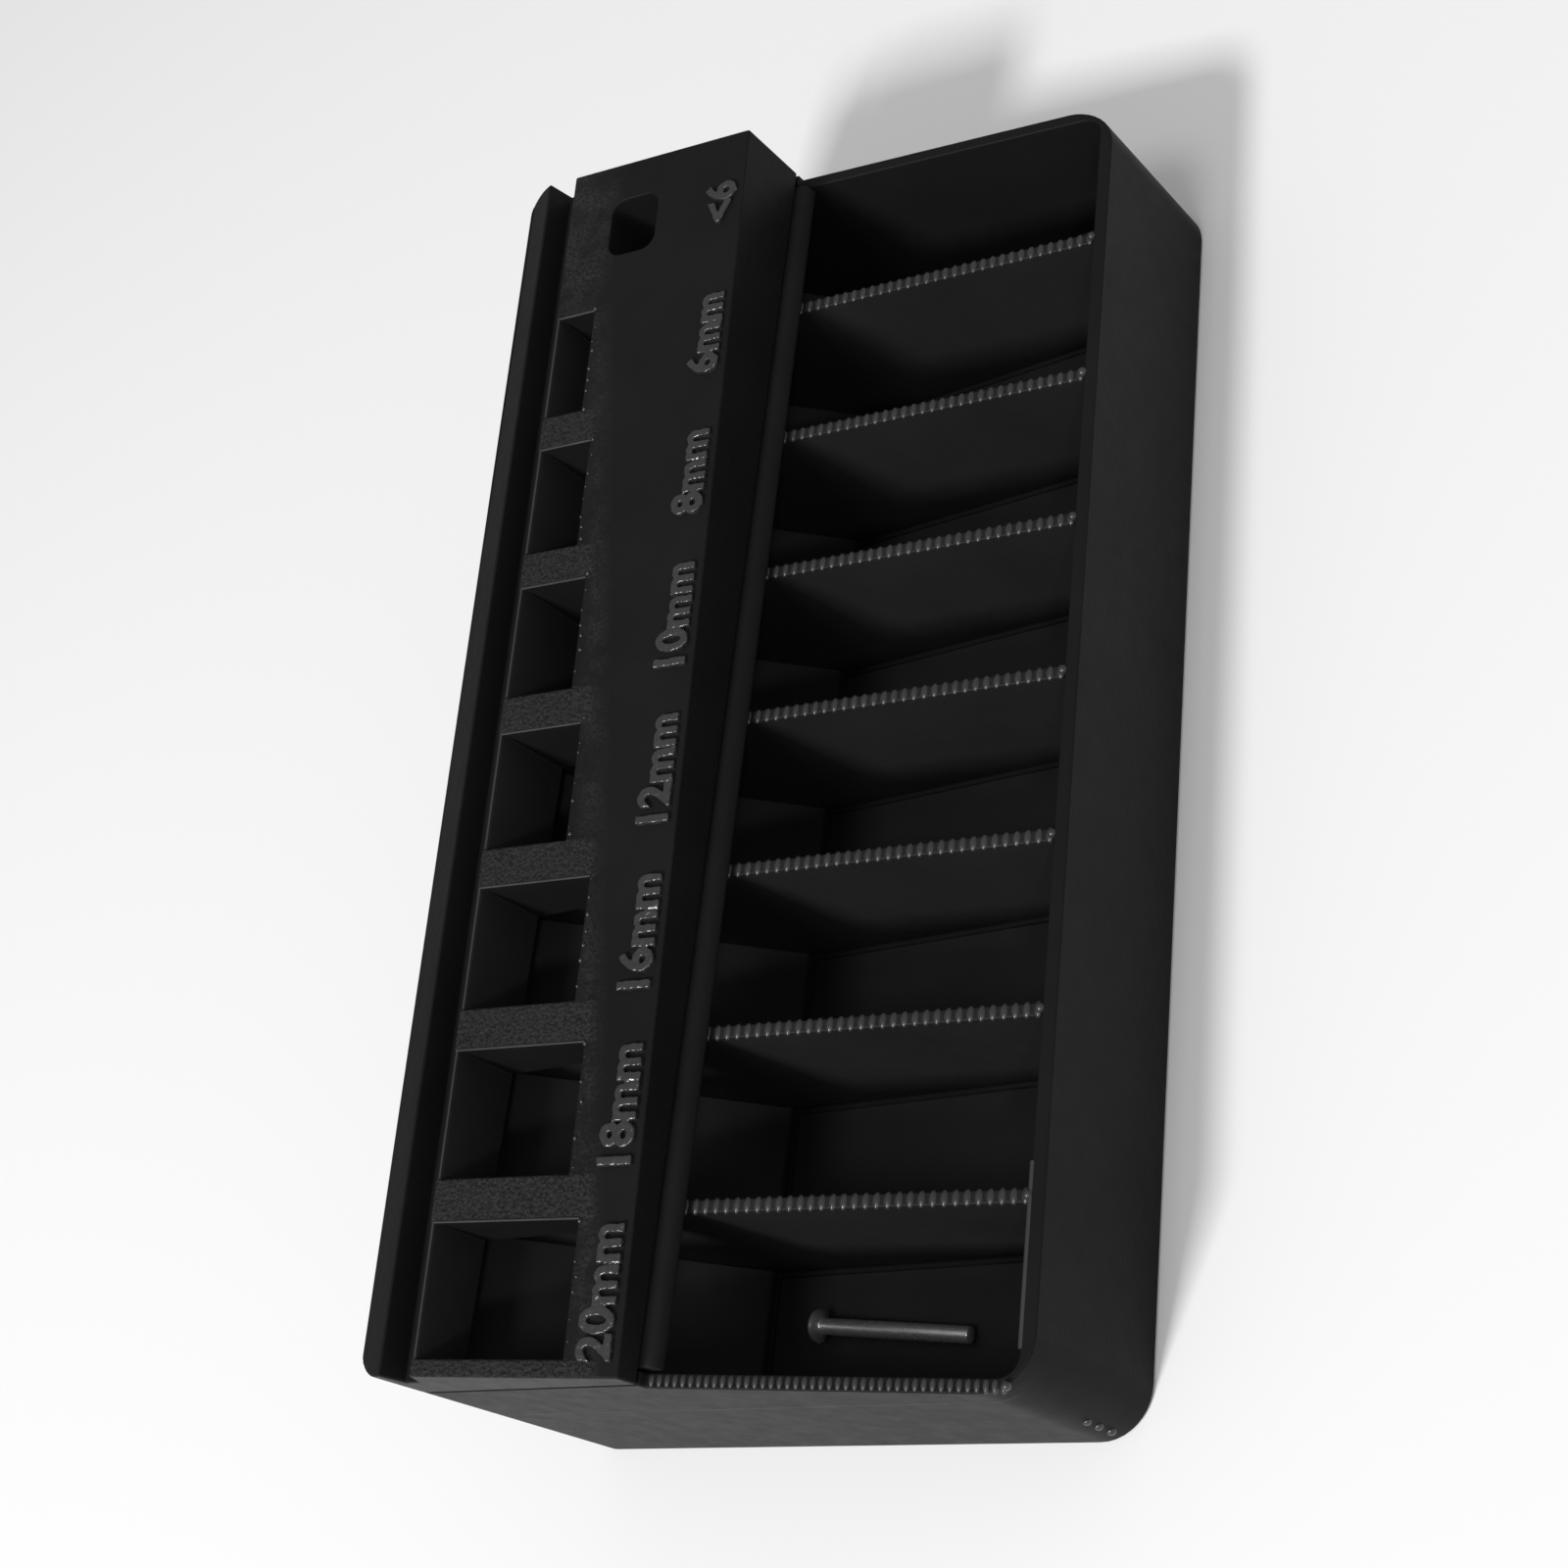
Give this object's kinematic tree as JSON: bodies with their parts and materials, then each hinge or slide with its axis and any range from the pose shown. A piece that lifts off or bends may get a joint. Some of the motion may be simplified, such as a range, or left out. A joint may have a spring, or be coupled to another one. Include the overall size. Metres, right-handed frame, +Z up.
{
  "type": "pin length sorter",
  "caption": "Tray of open bins beside a sloping sorting deck: headed pins slide along a groove and drop through the first window wider than their length.",
  "frame": {"origin": "middle of the flat underside", "axes": "+Y along the row of bins towards the narrow windows, +X from the groove to the open bins, +Z up"},
  "size_m": [0.0786, 0.16, 0.0484],
  "materials": {
    "printed_plastic": "black, layered print, satin",
    "pin_steel": "bright drawn wire"
  },
  "bodies": {
    "tray": {"bin_tray": "printed_plastic", "bin_divider_1": "printed_plastic", "bin_divider_2": "printed_plastic", "bin_divider_3": "printed_plastic", "bin_divider_4": "printed_plastic", "bin_divider_5": "printed_plastic", "bin_divider_6": "printed_plastic", "bin_divider_7": "printed_plastic", "chute_ramp_1": "printed_plastic", "chute_ramp_2": "printed_plastic", "chute_ramp_3": "printed_plastic", "chute_ramp_4": "printed_plastic", "chute_ramp_5": "printed_plastic", "chute_ramp_6": "printed_plastic", "chute_ramp_7": "printed_plastic", "chute_ramp_8": "printed_plastic", "throat_lintel": "printed_plastic"},
    "deck": {"sorting_deck": "printed_plastic"},
    "pin": {"sorted_pin": "pin_steel"}
  },
  "joints": [
    {"name": "deck_lift", "type": "slide", "parent": "tray", "child": "deck", "axis": [0, 0, 1], "range_m": [0, 0.06]},
    {"name": "pin_slide", "type": "slide", "parent": "tray", "child": "pin", "axis": [1, 0, 0], "range_m": [-0.006, 0.016]}
  ]
}
